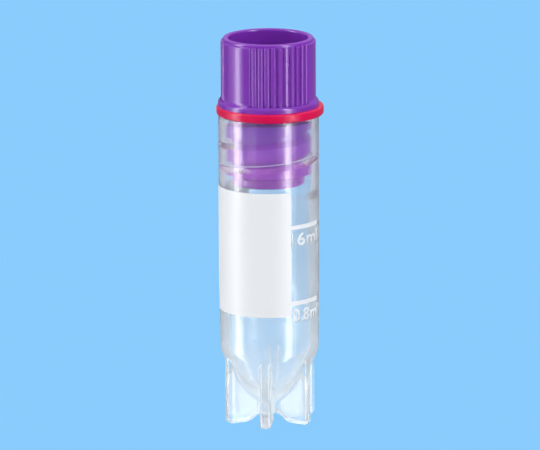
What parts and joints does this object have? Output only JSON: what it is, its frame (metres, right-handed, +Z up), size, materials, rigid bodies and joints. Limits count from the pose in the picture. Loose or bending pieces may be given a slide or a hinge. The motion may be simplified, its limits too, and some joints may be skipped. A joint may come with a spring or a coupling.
{
  "type": "cryovial",
  "caption": "Small clear screw-cap tube with star feet for freezing lab samples; the ribbed cap's plug screws inside the mouth onto a rubber seal ring.",
  "frame": {"origin": "on the tube's axis, in the plane that the six feet stand on", "axes": "+Z up along the tube's axis to the cap; +X to the right and -Y towards the viewer with the writing field in front"},
  "size_m": [0.0134, 0.0132, 0.0486],
  "materials": {
    "clear_polypropylene": "gloss",
    "red_silicone": "satin",
    "violet_polypropylene": "gloss"
  },
  "bodies": {
    "tube": {"tube": "clear_polypropylene"},
    "seal_ring": {"seal_ring": "red_silicone"},
    "cap": {"screw_cap": "violet_polypropylene"}
  },
  "joints": [
    {"name": "cap_lift", "type": "slide", "parent": "tube", "child": "seal_ring", "axis": [0, 0, 1], "range_m": [0, 0.00974]},
    {"name": "cap_turn", "type": "hinge", "parent": "seal_ring", "child": "cap", "pos_m": [0, 0, 0.04008], "axis": [0, 0, 1], "range_deg": [0, 1188.1]}
  ],
  "couplings": [
    {"joint": "cap_turn", "follows": "cap_lift", "rad_per_m": 2129.9}
  ]
}
